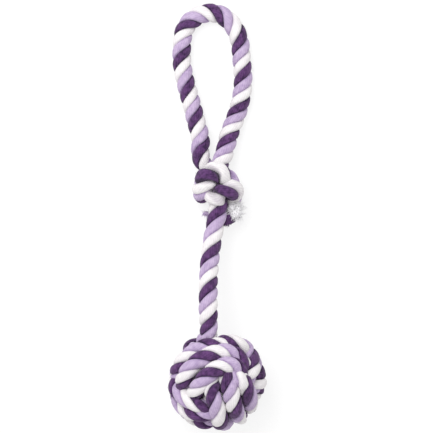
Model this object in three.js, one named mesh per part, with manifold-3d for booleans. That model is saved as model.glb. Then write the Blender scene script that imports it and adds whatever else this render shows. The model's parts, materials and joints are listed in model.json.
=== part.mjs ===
// A rope dog toy: one length of three-strand cotton rope, tied into a ball, a knot and a hand loop.
// It lies on its side, +Y from the ball to the hand loop, +Z up, in millimetres.
// The rope is drawn plain, as a tube, and its bending is shared out among a few hinged stretches.
import * as THREE from 'three';
import { mergeVertices } from 'three/addons/utils/BufferGeometryUtils.js';
import Module from 'manifold-3d';

const wasm = await Module();
wasm.setup();

// Driving sizes
const rope_d = 13.5;
const ball_d = 70;
const ball_outer_rope_d = 11.2;
const ball_inner_rope_d = 8.8;
const ball_core_d = 20;
const ball_exit_length = 46;
const shank_length = 60.4;
const handle_length = 123.7;
const handle_width = 44.3;
const tail_white_d = 9.6;
const tail_purple_d = 7.8;
const tail_lilac_d = 4.4;

// Clearances, and how deep the rope is pressed flat where it lies on the floor
const piece_gap = 0.3;
const turn_gap = 0.6;
const hinge_gap = 0.6;
const flat_share = 0.1;

// The knot is pulled tight, so the rope is thinner there
const knot_rope_share = 0.726;
const knot_standing_share = 0.711;
const knot_rope_d = knot_rope_share * rope_d;
const knot_standing_d = knot_standing_share * rope_d;

// How finely the rope is drawn: steps are shares of its diameter
const winding_sides = 6;
const rope_sides = 10;
const fine_step_share = 0.3;
const rope_step_share = 0.7;
const drawn_every = 2;
const curve_divisions = 20;

const up = new THREE.Vector3(0, 0, 1);

function point(x, y, z) {
  return new THREE.Vector3(x, y, z);
}

// Evenly spaced stations, each a place and a radius, on a smooth curve through hand-placed ones.
function evenStations(stations, step) {
  const curve = new THREE.CatmullRomCurve3(stations.map((s) => s.at), false, 'centripetal');
  curve.arcLengthDivisions = stations.length * curve_divisions;
  const count = Math.max(2, Math.round(curve.getLength() / step));
  const last = stations.length - 1;
  return Array.from({ length: count + 1 }, (_, i) => {
    const t = curve.getUtoTmapping(i / count);
    const before = Math.min(Math.floor(t * last), last - 1);
    const radius = THREE.MathUtils.lerp(
      stations[before].radius, stations[before + 1].radius, t * last - before);
    return { at: curve.getPoint(t), radius };
  });
}

// Two places on one rope count as separate turns when they are further along it than a tight bend.
const bend_share = 1.6;

function separateTurns(a, b, along) {
  return along > bend_share * (a.radius + b.radius);
}

function leastGap(rope, step, others = []) {
  let least = Infinity;
  rope.forEach((a, i) => {
    for (let j = i + 1; j < rope.length; j += 1) {
      const b = rope[j];
      if (separateTurns(a, b, (j - i) * step)) {
        least = Math.min(least, a.at.distanceTo(b.at) - a.radius - b.radius);
      }
    }
    for (const b of others) least = Math.min(least, a.at.distanceTo(b.at) - a.radius - b.radius);
  });
  return least;
}

// Pulling a rope tight: its free stations straighten out, and are pushed clear of its other turns,
// of the fixed stations of another rope, and of what the limit keeps them off.
const pull_rounds = 280;
const clear_rounds = 140;
const pull_share = 0.12;
const push_share = 0.35;

function pullTight(rope, step, held, fixed, limit) {
  const isFree = (i) => i >= held.start && i < rope.length - held.end;
  for (let round = 0; round < pull_rounds + clear_rounds; round += 1) {
    const before = rope.map((s) => s.at.clone());
    rope.forEach((s, i) => {
      if (!isFree(i) || round >= pull_rounds) return;
      s.at.lerp(before[i - 1].clone().lerp(before[i + 1], 1 / 2), pull_share);
    });
    rope.forEach((a, i) => {
      for (let j = i + 1; j < rope.length; j += 1) {
        const b = rope[j];
        const need = a.radius + b.radius + turn_gap;
        const apart = Math.abs(a.at.x - b.at.x) > need ? need : a.at.distanceTo(b.at);
        if (apart >= need || !separateTurns(a, b, (j - i) * step)) continue;
        const push = a.at.clone().sub(b.at).multiplyScalar((need / apart - 1) * push_share);
        if (isFree(i)) a.at.add(push);
        if (isFree(j)) b.at.sub(push);
      }
      if (!isFree(i)) return;
      for (const b of fixed) {
        const need = a.radius + b.radius + turn_gap;
        const away = a.at.clone().sub(b.at);
        if (away.length() < need) a.at.copy(b.at).add(away.setLength(need));
      }
      limit(a);
    });
  }
}

// The skin of a closed tube: rings of points, with a tip at either end.
function skin(rings, start_tip, end_tip) {
  const sides = rings[0].length;
  const points = [start_tip, ...rings.flat(), end_tip];
  const last = points.length - 1;
  const at = (ring, side) => 1 + ring * sides + (side % sides);
  const faces = [];
  for (let side = 0; side < sides; side += 1) {
    faces.push(0, at(0, side + 1), at(0, side));
    faces.push(last, at(rings.length - 1, side), at(rings.length - 1, side + 1));
    for (let ring = 0; ring < rings.length - 1; ring += 1) {
      faces.push(at(ring, side), at(ring, side + 1), at(ring + 1, side));
      faces.push(at(ring + 1, side), at(ring, side + 1), at(ring + 1, side + 1));
    }
  }
  const geometry = new THREE.BufferGeometry().setFromPoints(points);
  geometry.setIndex(faces);
  return geometry;
}

function squareTo(vector, tangent) {
  return vector.clone().addScaledVector(tangent, -vector.dot(tangent)).normalize();
}

function ring(centre, tangent, normal, radius, sides) {
  const across = new THREE.Vector3().crossVectors(tangent, normal);
  return Array.from({ length: sides }, (_, side) => {
    const turn = (side + 0.5) / sides * Math.PI * 2;
    return centre.clone()
      .addScaledVector(normal, radius * Math.cos(turn))
      .addScaledVector(across, radius * Math.sin(turn));
  });
}

function tangentOf(rope, i) {
  const before = rope[Math.max(i - 1, 0)].at;
  const after = rope[Math.min(i + 1, rope.length - 1)].at;
  return after.clone().sub(before).normalize();
}

// Where one stretch of rope bends on the next, a round end turns in a cup about one centre.
// side is -1 where the round end looks back along the rope, and 1 where it looks ahead.
const round_end_share = 0.6;
const round_end_rings = 3;

function endFace(hinge, gap, side) {
  const reach = round_end_share * 2 * hinge.radius + gap;
  const rim = Math.asin(hinge.radius / reach);
  const normal = squareTo(up, hinge.tangent);
  const rings = Array.from({ length: round_end_rings }, (_, i) => {
    const angle = rim * (1 - i / round_end_rings);
    const centre = hinge.at.clone()
      .addScaledVector(hinge.tangent, side * reach * Math.cos(angle));
    return ring(centre, hinge.tangent, normal, reach * Math.sin(angle), rope_sides);
  });
  return { rings, tip: hinge.at.clone().addScaledVector(hinge.tangent, side * reach) };
}

function rimDepth(hinge, gap) {
  const reach = round_end_share * 2 * hinge.radius + gap;
  return reach * Math.cos(Math.asin(hinge.radius / reach));
}

// A closed stretch of rope. Each end is flat, or has the face that its hinge gives it.
function ropeBody(rope, { start, end, sides = rope_sides, carried = false }) {
  let normal = squareTo(up, tangentOf(rope, 0));
  const rings = rope.map((s, i) => {
    const tangent = tangentOf(rope, i);
    normal = squareTo(carried ? normal : up, tangent);
    return ring(s.at, tangent, normal, s.radius, sides);
  });
  const first = start ? start.rings.toReversed() : [];
  const final = end ? end.rings : [];
  return skin([...first, ...rings, ...final],
    start ? start.tip : rope[0].at, end ? end.tip : rope.at(-1).at);
}

function toSolid(geometry) {
  const bare = geometry.clone();
  bare.deleteAttribute('normal');
  bare.deleteAttribute('uv');
  const merged = mergeVertices(bare);
  return new wasm.Manifold(new wasm.Mesh({
    numProp: 3,
    vertProperties: new Float32Array(merged.attributes.position.array),
    triVerts: new Uint32Array(merged.index.array),
  }));
}

function toGeometry(solid) {
  const mesh = solid.getMesh();
  const geometry = new THREE.BufferGeometry();
  const places = new Float32Array(mesh.vertProperties);
  geometry.setAttribute('position', new THREE.BufferAttribute(places, 3));
  geometry.setIndex(new THREE.BufferAttribute(new Uint32Array(mesh.triVerts), 1));
  return geometry;
}

// What lies on the floor is pressed flat on it.
function pressedFlat(geometry, floor) {
  geometry.computeBoundingBox();
  const size = geometry.boundingBox.getSize(point(0, 0, 0));
  const centre = geometry.boundingBox.getCenter(point(0, 0, 0));
  const block = new THREE.BoxGeometry(size.x * 2, size.y * 2, size.z * 2);
  block.translate(centre.x, centre.y, floor - size.z);
  return toGeometry(toSolid(geometry).subtract(toSolid(block)));
}

function lowest(geometry) {
  geometry.computeBoundingBox();
  return geometry.boundingBox.min.z;
}

// The ball: three sets of turns, square to each other. Each set lies over the one set and under the
// other. It runs round two opposite faces on the outside, and across between them on the inside.
const out_first = point(-0.242, 0.457, 0.856).normalize();
const out_second = squareTo(point(-0.768, -0.629, 0.118), out_first);
const out_third = new THREE.Vector3().crossVectors(out_first, out_second);
const slant_share = 0.5;
const corner_power = 8;

function turnStation(set, half_turns) {
  const angle = half_turns * Math.PI;
  const turns = (half_turns - 1) / 2;
  const nearest = Math.round(turns);
  const slant = THREE.MathUtils.clamp((turns - nearest) / (slant_share / 2), -1, 1);
  const passed = nearest + (1 + Math.sin(slant * Math.PI / 2)) / 2;
  const outness = Math.cos(angle) ** 2;
  const thickness = THREE.MathUtils.lerp(ball_inner_rope_d, ball_outer_rope_d, outness);
  const aside = (set.lane + set.lane_step * passed) * (thickness + turn_gap);
  const reach = (ball_d - ball_outer_rope_d) / 2;
  const outside = Math.sqrt(Math.max(reach ** 2 - aside ** 2, ball_inner_rope_d ** 2));
  const inside = 2 * (ball_inner_rope_d + turn_gap) / Math.abs(Math.sin(angle));
  const radius = (outside ** -corner_power + inside ** -corner_power) ** (-1 / corner_power);
  const at = point(0, 0, 0)
    .addScaledVector(set.out, radius * Math.cos(angle))
    .addScaledVector(set.along, radius * Math.sin(angle))
    .addScaledVector(set.across, aside);
  return { at, radius: thickness / 2 };
}

// A set starts and ends at these half turns. Its turns shift by the lane step, a rope wide.
const turn_sets = [
  { out: out_first, along: out_second.clone().negate(), across: out_third,
    lane: 2, lane_step: -1, from: 1.1, to: 6.58 },
  { out: out_second, along: out_third.clone().negate(), across: out_first,
    lane: -2, lane_step: 1, from: 0.88, to: 6.18 },
  { out: out_third, along: out_first, across: out_second,
    lane: 2, lane_step: -1, from: 0.82, to: 6.6 },
];
const steps_per_turn = 24;
const exit_shares = [-0.126, 0.983, 0.133];
const exit_way = point(-0.03, 0.99, 0.12).normalize();
const neck_share = 0.36;

const ball_step = fine_step_share * ball_inner_rope_d;
const ball_exit = point(...exit_shares).multiplyScalar(ball_exit_length);

function ballRope() {
  const turns = turn_sets.flatMap((set) => {
    const count = Math.round((set.to - set.from) / 2 * steps_per_turn);
    return Array.from({ length: count + 1 }, (_, i) => (
      turnStation(set, THREE.MathUtils.lerp(set.from, set.to, i / count))));
  });
  const neck = [neck_share, neck_share / 2, 0].map((share) => (
    { at: ball_exit.clone().addScaledVector(exit_way, -share * ball_exit_length),
      radius: ball_outer_rope_d / 2 }));
  const rope = evenStations([...turns, ...neck], ball_step);
  const held = { start: 1, end: Math.round(neck_share * ball_exit_length / ball_step) };
  const limit = (s) => {
    const most = ball_d / 2 - s.radius;
    const least = ball_core_d / 2 + s.radius + piece_gap;
    const length = s.at.length();
    if (length > most || length < least) s.at.setLength(THREE.MathUtils.clamp(length, least, most));
  };
  pullTight(rope, ball_step, held, [], limit);
  console.log('ball winding: least gap between turns', leastGap(rope, ball_step).toFixed(2), 'mm');
  return rope;
}

// The knot: the standing part runs straight through it, and the rope's end goes twice round that.
// Its tables are shares of the knot's pitch, from the middle of the standing part.
const knot_pitch = knot_rope_d + turn_gap;
const standing_shares = [
  [-0.22, -3.20, 0.50],
  [-0.14, -2.40, 0.36],
  [-0.10, -1.50, 0.20],
  [-0.10, -0.60, 0.08],
  [-0.08, 0.50, -0.08],
  [0.05, 1.30, -0.22],
  [0.40, 1.95, -0.44],
  [0.52, 2.33, -0.60],
];
const wrap_shares = [
  [-1.04, 2.33, -0.83],
  [-0.95, 1.95, -0.95],
  [-0.78, 1.60, -1.10],
  [-0.21, 1.22, -1.20],
  [0.62, 1.11, -1.09],
  [1.02, 1.17, -0.34],
  [0.78, 1.07, 0.44],
  [0.14, 0.83, 0.87],
  [-0.62, 0.28, 0.97],
  [-1.07, -0.35, 0.58],
  [-1.28, -0.90, 0.00],
  [-1.32, -0.90, -0.68],
  [-1.46, -0.28, -0.87],
  [-1.26, -0.07, -0.49],
  [-0.77, -0.20, -0.05],
  [-0.35, -0.35, 0.53],
  [0.07, -0.38, 1.02],
  [0.77, -0.28, 0.87],
  [1.32, -0.49, 0.29],
  [1.39, -0.80, -0.30],
  [1.30, -1.25, -0.45],
  [1.20, -1.62, -0.50],
];

function placed(shares, unit) {
  return point(...shares).multiplyScalar(unit);
}

function swelling(table, from_d, middle_d, to_d, ends) {
  return table.map((shares, i) => {
    const start = THREE.MathUtils.clamp(1 - i / ends, 0, 1);
    const end = THREE.MathUtils.clamp(1 - (table.length - 1 - i) / ends, 0, 1);
    const d = middle_d + (from_d - middle_d) * start + (to_d - middle_d) * end;
    return { at: placed(shares, knot_pitch), radius: d / 2 };
  });
}

const knot_step = fine_step_share * knot_rope_d;
const swell_rows = 3;
const standing_rope = evenStations(
  swelling(standing_shares, rope_d, knot_standing_d, rope_d, swell_rows), knot_step);
const wrap_rope = evenStations(
  swelling(wrap_shares, rope_d, knot_rope_d, knot_rope_d, swell_rows), knot_step);
const knot_floor_share = -1.17;
pullTight(wrap_rope, knot_step, { start: 4, end: 4 }, standing_rope, (s) => {
  s.at.z = Math.max(s.at.z, knot_floor_share * knot_pitch + s.radius - knot_rope_d / 2);
});
console.log('knot wrap: least gap between turns', leastGap(wrap_rope, knot_step).toFixed(2), 'mm');
console.log('knot wrap: least gap to the standing part',
  leastGap(wrap_rope, knot_step, standing_rope).toFixed(2), 'mm');

// The rope's cut end parts into its three strands. Each starts on its own third of the cut face. Its
// table holds shares of the knot's pitch from the middle of the knot, and a share of its diameter.
const tip_sides = 8;
const tip_root_share = 0.2;
const tip_spread_share = 0.27;
const white_tip_shares = [
  [1.40, -2.02, -0.80, 0.42],
  [1.34, -2.32, -0.90, 0.50],
  [1.27, -2.62, -0.93, 0.36],
];
const purple_tip_shares = [
  [0.98, -2.08, -0.20, 0.42],
  [0.84, -2.40, -0.14, 0.50],
  [0.78, -2.72, -0.14, 0.46],
];
const lilac_tip_shares = [
  [0.72, -1.95, -1.00, 0.50],
  [0.10, -2.00, -1.02, 0.50],
  [-0.45, -2.00, -0.90, 0.50],
  [-0.85, -1.98, -0.78, 0.40],
];

// A hinge sits where two stretches meet. The rope's stations are measured from there.
function hingeAt(at, tangent) {
  return { at, tangent: tangent.clone().normalize(), radius: rope_d / 2 };
}

// How much of a rope its cup takes up, with the wall behind the rim.
function cupDepth(hinge) {
  return rimDepth(hinge, hinge_gap) + fine_step_share * rope_d;
}

function trimmed(rope, step, from_start, from_end) {
  const first = Math.ceil(from_start / step);
  const last = rope.length - 1 - Math.ceil(from_end / step);
  return rope.slice(first, last + 1);
}

function thinned(rope) {
  return rope.filter((_, i) => i % drawn_every === 0 || i === rope.length - 1);
}

function moved(rope, by) {
  return rope.map((s) => ({ at: s.at.clone().add(by), radius: s.radius }));
}

// The knot stands on its lowest turn.
const raw_wrap = ropeBody(wrap_rope, { carried: true });
const knot_height = -lowest(raw_wrap) - flat_share * knot_rope_d;
const knot_at = point(0, 0, knot_height);
const standing = moved(standing_rope, knot_at);
const wrap = moved(wrap_rope, knot_at);

// The ball stands on its own lowest turn, the shank's length from the knot.
const ball_rope = ballRope();
const raw_winding = ropeBody(thinned(ball_rope), { sides: winding_sides, carried: true });
const ball_height = -lowest(raw_winding) - flat_share * ball_outer_rope_d;
const shank_aside_share = 0.28;
const knot_foot = hingeAt(standing[0].at, tangentOf(standing, 0));
const ball_hinge = hingeAt(
  point(knot_foot.at.x - shank_aside_share * rope_d, knot_foot.at.y - shank_length,
    ball_height + ball_exit.z), exit_way);
const ball_at = ball_hinge.at.clone().sub(ball_exit);

// The shank is one smooth curve from the ball to the knot, hinged at its ends and at its thirds.
const shank_reach_share = 0.35;
const shank_curve = new THREE.CubicBezierCurve3(
  ball_hinge.at,
  ball_hinge.at.clone().addScaledVector(ball_hinge.tangent, shank_reach_share * shank_length),
  knot_foot.at.clone().addScaledVector(knot_foot.tangent, -shank_reach_share * shank_length),
  knot_foot.at);
const shank_names = ['shank_lower', 'shank_middle', 'shank_upper'];
const shank_hinges = [ball_hinge, knot_foot];
shank_names.slice(1).forEach((_, i) => {
  const share = (i + 1) / shank_names.length;
  const hinge = hingeAt(shank_curve.getPointAt(share), shank_curve.getTangentAt(share));
  shank_hinges.splice(i + 1, 0, hinge);
});

// The hand loop lies on the floor. Rows are shares of its width, its length and its roots' height.
const handle_shares = [
  [0.208, 0.312, 0.42],
  [0.314, 0.411, 0.08],
  [0.395, 0.514, 0],
  [0.427, 0.613, 0],
  [0.404, 0.728, 0],
  [0.368, 0.844, 0],
  [0.275, 0.925, 0],
  [0.113, 0.980, 0],
  [-0.065, 1.000, 0],
  [-0.275, 0.991, 0],
  [-0.427, 0.960, 0],
  [-0.533, 0.908, 0],
  [-0.569, 0.833, 0],
  [-0.573, 0.728, 0],
  [-0.517, 0.613, 0],
  [-0.427, 0.497, 0],
  [-0.343, 0.382, 0.10],
  [-0.268, 0.277, 0.55],
];
const handle_height = rope_d / 2 - flat_share * rope_d;
const right_root = standing.at(-1).at;
const left_root = wrap[0].at;
const handle_way = handle_shares.map(([across, along, lift], i) => {
  const root = i < handle_shares.length / 2 ? right_root : left_root;
  const height = THREE.MathUtils.lerp(handle_height, root.z, lift);
  return { at: point(across * handle_width, along * handle_length, height), radius: rope_d / 2 };
});
const handle_step = rope_step_share * rope_d;
const handle = evenStations([
  { at: right_root, radius: rope_d / 2 }, ...handle_way, { at: left_root, radius: rope_d / 2 },
], handle_step);
const right_hinge = hingeAt(right_root, tangentOf(handle, 0));
const left_hinge = hingeAt(left_root, tangentOf(handle, handle.length - 1));

// Colours of dyed cotton
const rope_colour = 0x9c86b4;
const white_colour = 0xf1ecec;
const purple_colour = 0x513160;
const lilac_colour = 0xc3add6;

const group = new THREE.Group();
const toy = new THREE.Group();
group.add(toy);

function addPiece(name, geometry, color) {
  const material = new THREE.MeshStandardMaterial({ color, roughness: 0.95, metalness: 0 });
  const mesh = new THREE.Mesh(geometry, material);
  mesh.name = name;
  toy.add(mesh);
  return mesh;
}

const core_sides = 12;

function addBall() {
  const neck = evenStations([
    { at: ball_exit.clone().addScaledVector(exit_way, -neck_share * ball_exit_length),
      radius: ball_outer_rope_d / 2 },
    { at: ball_exit.clone().addScaledVector(exit_way, -neck_share / 2 * ball_exit_length),
      radius: rope_d / 2 },
    { at: ball_exit, radius: rope_d / 2 },
  ], ball_step);
  const hinge = hingeAt(ball_exit, exit_way);
  const end = endFace(hinge, hinge_gap, -1);
  const neck_solid = toSolid(ropeBody(
    trimmed(neck, ball_step, 0, cupDepth(hinge)), { end }));
  const turns = thinned(trimmed(ball_rope, ball_step, 0, neck_share * ball_exit_length));
  const winding = toSolid(ropeBody(turns, { sides: winding_sides, carried: true }));
  const geometry = toGeometry(winding.add(neck_solid));
  addPiece('ball_winding', pressedFlat(geometry, -ball_height), rope_colour).position.copy(ball_at);
  const core = new THREE.SphereGeometry(ball_core_d / 2, core_sides, core_sides / 2);
  addPiece('ball_core', core, white_colour).position.copy(ball_at);
}

function addShank() {
  const share = 1 / shank_names.length;
  const length = shank_curve.getLength() * share;
  const count = Math.round(length / (fine_step_share * rope_d));
  shank_names.forEach((name, i) => {
    const rope = Array.from({ length: count + 1 }, (_, j) => (
      { at: shank_curve.getPointAt(share * (i + j / count)), radius: rope_d / 2 }));
    const to = shank_hinges[i + 1];
    const body = ropeBody(trimmed(rope, length / count, 0, cupDepth(to)), {
      start: endFace(shank_hinges[i], 0, -1),
      end: endFace(to, hinge_gap, -1),
    });
    addPiece(name, body, rope_colour);
  });
}

function addKnot() {
  const standing_part = thinned(trimmed(standing, knot_step, 0, cupDepth(right_hinge)));
  const standing_body = ropeBody(standing_part, {
    start: endFace(knot_foot, 0, -1),
    end: endFace(right_hinge, hinge_gap, -1),
  });
  addPiece('knot_standing_part', standing_body, rope_colour);
  const wrap_body = ropeBody(thinned(trimmed(wrap, knot_step, cupDepth(left_hinge), 0)), {
    start: endFace(left_hinge, hinge_gap, 1),
    carried: true,
  });
  addPiece('knot_wrap', pressedFlat(wrap_body, 0), rope_colour);
}

function addHandle() {
  const body = ropeBody(handle, {
    start: endFace(right_hinge, 0, -1),
    end: endFace(left_hinge, 0, 1),
  });
  addPiece('handle_loop', pressedFlat(body, 0), rope_colour);
}

function addTip(name, third, d, shares, color) {
  const tangent = tangentOf(wrap, wrap.length - 1);
  const outwards = squareTo(point(1, 0, 0), tangent).applyAxisAngle(tangent, third / 3 * Math.PI * 2);
  const radius = tip_root_share * knot_rope_d;
  const root = wrap.at(-1).at.clone()
    .addScaledVector(tangent, piece_gap)
    .addScaledVector(outwards, tip_spread_share * knot_rope_d);
  const straight = root.clone().addScaledVector(tangent, radius);
  const way = shares.map(([x, y, z, share]) => (
    { at: placed([x, y, z], knot_pitch).add(knot_at), radius: share * d }));
  const strand = evenStations([{ at: straight, radius }, ...way], radius * 2);
  addPiece(name, ropeBody([{ at: root, radius }, ...strand], { sides: tip_sides, carried: true }), color);
}

addBall();
addShank();
addKnot();
addHandle();
addTip('tail_white', 0, tail_white_d, white_tip_shares, white_colour);
addTip('tail_purple', 1, tail_purple_d, purple_tip_shares, purple_colour);
addTip('tail_lilac', 2, tail_lilac_d, lilac_tip_shares, lilac_colour);

const box = new THREE.Box3().setFromObject(toy);
const middle = box.getCenter(point(0, 0, 0));
toy.position.set(-middle.x, -middle.y, -box.min.z);

function inWords(vector) {
  return vector.toArray().map((v) => v.toFixed(2)).join(' ');
}

console.log('overall size, mm:', inWords(box.getSize(point(0, 0, 0))));
[...shank_hinges, right_hinge, left_hinge].forEach(({ at }) => {
  console.log('hinge at, mm:', inWords(at.clone().add(toy.position)));
});

export default group;
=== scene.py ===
# %% [markdown]
# # A rope dog toy
# This toy is one length of laid cotton rope and nothing else. Three strands, one purple, one lilac
# and one white, are twisted together into rope. The rope is woven into a ball, runs up a short
# shank, goes through a knot, makes a hand loop and comes back to tie that knot round itself.
#
# So there is really one thing to make, a strand, and one thing to get right, the way the rope goes.
# The cells below first find that way, then lay the three strands along it.

# %% Load the frame
import json
import math

import bpy
import numpy as np
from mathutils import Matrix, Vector

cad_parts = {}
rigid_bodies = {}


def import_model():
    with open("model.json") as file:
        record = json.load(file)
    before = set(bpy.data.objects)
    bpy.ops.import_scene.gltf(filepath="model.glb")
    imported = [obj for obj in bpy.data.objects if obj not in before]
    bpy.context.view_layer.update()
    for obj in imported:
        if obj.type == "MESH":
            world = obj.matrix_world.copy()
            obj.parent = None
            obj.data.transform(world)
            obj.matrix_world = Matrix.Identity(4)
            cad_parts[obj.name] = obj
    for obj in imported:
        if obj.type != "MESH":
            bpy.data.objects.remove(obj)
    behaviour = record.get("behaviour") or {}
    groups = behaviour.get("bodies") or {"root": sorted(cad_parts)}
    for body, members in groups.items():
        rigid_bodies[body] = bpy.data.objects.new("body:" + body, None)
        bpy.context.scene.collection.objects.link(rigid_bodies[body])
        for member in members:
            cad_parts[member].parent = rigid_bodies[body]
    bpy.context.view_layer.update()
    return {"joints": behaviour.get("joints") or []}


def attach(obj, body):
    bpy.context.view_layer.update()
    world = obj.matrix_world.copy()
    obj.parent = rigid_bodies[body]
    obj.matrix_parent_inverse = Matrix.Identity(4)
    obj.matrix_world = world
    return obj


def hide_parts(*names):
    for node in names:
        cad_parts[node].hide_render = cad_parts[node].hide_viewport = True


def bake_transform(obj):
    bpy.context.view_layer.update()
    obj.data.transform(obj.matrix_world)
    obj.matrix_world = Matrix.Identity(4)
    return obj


for left_over in list(bpy.data.objects):
    bpy.data.objects.remove(left_over)
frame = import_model()
hinges = {joint["name"]: np.array(joint["pos_m"]) * 1000 for joint in frame["joints"]}
print("hinges, mm:", {name: place.round(1).tolist() for name, place in hinges.items()})

# %% [markdown]
# ## The camera
# The photo looks straight down on the toy from well above it. A long lens a good way off keeps the
# ball, which stands higher than the hand loop, from looking too large. The photo's scale was worked
# out with the solids: so many millimetres to a pixel.

# %% Camera
photo_pixels = 433
mm_per_pixel = 0.715
photo_zero_column = 215.65
photo_zero_row = 215.23
camera_height_mm = 1600
rope_height_mm = 20


def from_photo(column, row, height=rope_height_mm):
    """A pixel of the photo, as a place on the toy at a height, in millimetres."""
    nearer = (camera_height_mm - height) / (camera_height_mm - rope_height_mm)
    middle = photo_pixels / 2
    across = (middle - photo_zero_column + (column - middle) * nearer) * mm_per_pixel
    return across, (photo_zero_row - middle - (row - middle) * nearer) * mm_per_pixel


camera = bpy.data.objects.new("camera", bpy.data.cameras.new("camera"))
bpy.context.collection.objects.link(camera)
bpy.context.scene.camera = camera
middle_x, middle_y = from_photo(photo_pixels / 2, photo_pixels / 2)
camera.location = Vector((middle_x, middle_y, camera_height_mm)) / 1000
half_view = photo_pixels * mm_per_pixel / 2 / (camera_height_mm - rope_height_mm)
camera.data.lens = camera.data.sensor_width / 2 / half_view
camera.data.clip_end = 10
print(f"camera: {camera.data.lens:.0f} mm lens, {camera_height_mm} mm above the toy")

# %% [markdown]
# ## How rope runs
# A rope's way is a table of rows, each x, y, z and the rope's radius there. A smooth curve goes
# through the given rows, and is then walked in even steps, because the strands' twist is counted
# along its length.

# %% Smooth, even ways
steps_between_rows = 24


def smooth_way(rows, step):
    """Evenly spaced rows on a centripetal Catmull-Rom curve through the given ones."""
    rows = np.asarray(rows, float)
    at = rows[:, :3]
    at = np.vstack([2 * at[0] - at[1], at, 2 * at[-1] - at[-2]])
    share = np.linspace(0, 1, steps_between_rows, endpoint=False)[:, None]
    pieces = []
    for i in range(len(rows) - 1):
        a, b, c, d = at[i:i + 4]
        before, here, after = (np.linalg.norm(q - p) ** 0.5 for p, q in ((a, b), (b, c), (c, d)))
        leave = (b - a) / before - (c - a) / (before + here) + (c - b) / here
        arrive = (c - b) / here - (d - b) / (here + after) + (d - c) / after
        leave, arrive = leave * here, arrive * here
        places = (b + leave * share + (3 * (c - b) - 2 * leave - arrive) * share ** 2
                  + (2 * (b - c) + leave + arrive) * share ** 3)
        radii = rows[i, 3] + (rows[i + 1, 3] - rows[i, 3]) * share
        pieces.append(np.hstack([places, radii]))
    return even_way(np.vstack([*pieces, rows[-1:]]), step)


def lengths_along(way):
    return np.concatenate([[0], np.cumsum(np.linalg.norm(np.diff(way[:, :3], axis=0), axis=1))])


def even_way(way, step):
    along = lengths_along(way)
    count = max(2, round(along[-1] / step))
    return np.stack([np.interp(np.linspace(0, along[-1], count + 1), along, column)
                     for column in way.T], axis=1)


def unit(vector):
    return np.asarray(vector, float) / np.linalg.norm(vector)


def square_to(vector, direction):
    """The part of a vector that is square to a direction, one long."""
    vector = np.asarray(vector, float)
    return unit(vector - direction * (vector @ direction))


# %% [markdown]
# Rope that is woven by a formula still runs through itself here and there. On the real toy the
# maker pulls each turn tight until it lies against the others. This does the same: the way
# straightens a little each round, and turns that are too close push each other apart.

# %% Pulling rope tight
turn_gap = 0.6
# rows that are nearer along the rope than this many diameters are on one bend, and may touch
bend_share = 1.6
# which turns are neighbours is looked up every few rounds, with some room to spare
rounds_between_looks = 20
look_share = 1.6
tiny = 1e-6


def pull_tight(way, step, is_free, limit, rounds=(280, 140), pull=0.12, push=0.35):
    """Straightens the free rows of a way for some rounds, and keeps its turns apart for more."""
    way = way.copy()
    count = len(way)
    radius = way[:, 3]
    first, second = np.triu_indices(count, 1)
    apart = (second - first) * step > bend_share * (radius[first] + radius[second])
    first, second = first[apart], second[apart]
    need = radius[first] + radius[second] + turn_gap
    for done in range(sum(rounds)):
        at = way[:, :3]
        if done % rounds_between_looks == 0:
            close = np.linalg.norm(at[first] - at[second], axis=1) < need * look_share
            one, two, wanted = first[close], second[close], need[close]
        if done < rounds[0]:
            middle = (at[:-2] + at[2:]) / 2 - at[1:-1]
            at[1:-1][is_free[1:-1]] += pull * middle[is_free[1:-1]]
        gap = at[one] - at[two]
        distance = np.linalg.norm(gap, axis=1)
        touching = distance < wanted
        share = (wanted / np.maximum(distance, tiny) - 1)[touching] * push
        shove = gap[touching] * share[:, None]
        moved = np.zeros_like(at)
        np.add.at(moved, one[touching], shove)
        np.add.at(moved, two[touching], -shove)
        at[is_free] += moved[is_free]
        limit(way, is_free)
    return way


# %% [markdown]
# ## The ball
# The ball is a monkey's fist. Three sets of turns go round it, square to each other, and each set
# lies over one of the others and under the third. From any corner the sets show as a pinwheel of
# three bundles. Each turn is nearly straight where it is outside and cuts across inside.

# %% The ball's sizes and its sets of turns
rope_d = 13.5
ball_d = 70
ball_outer_rope_d = 11.2
ball_inner_rope_d = 8.8
ball_core_d = 20
core_gap = 0.3
ball_exit_length = 46
neck_share = 0.36

out_first = unit((-0.208, 0.577, 0.790))
out_second = square_to((-0.848, -0.509, 0.149), out_first)
out_third = np.cross(out_first, out_second)
# each set: out, along, across, first lane, lane step, and the half turns it starts and ends at
turn_sets = [
    (out_first, -out_second, out_third, 2, -1, 1.1, 6.58),
    (out_second, -out_third, out_first, -2, 1, 0.88, 6.18),
    (out_third, out_first, out_second, 2, -1, 0.82, 6.6),
]
exit_way = unit((-0.03, 0.99, 0.12))
ball_exit = np.array((-0.126, 0.983, 0.133)) * ball_exit_length
print(f"ball: {ball_d} mm across, {len(turn_sets)} sets of turns")

# %% The way round the ball
ball_step = 0.3 * ball_inner_rope_d
rows_per_turn = 24
slant_share = 0.5
corner_power = 8
easing_rounds = (120, 80)


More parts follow.
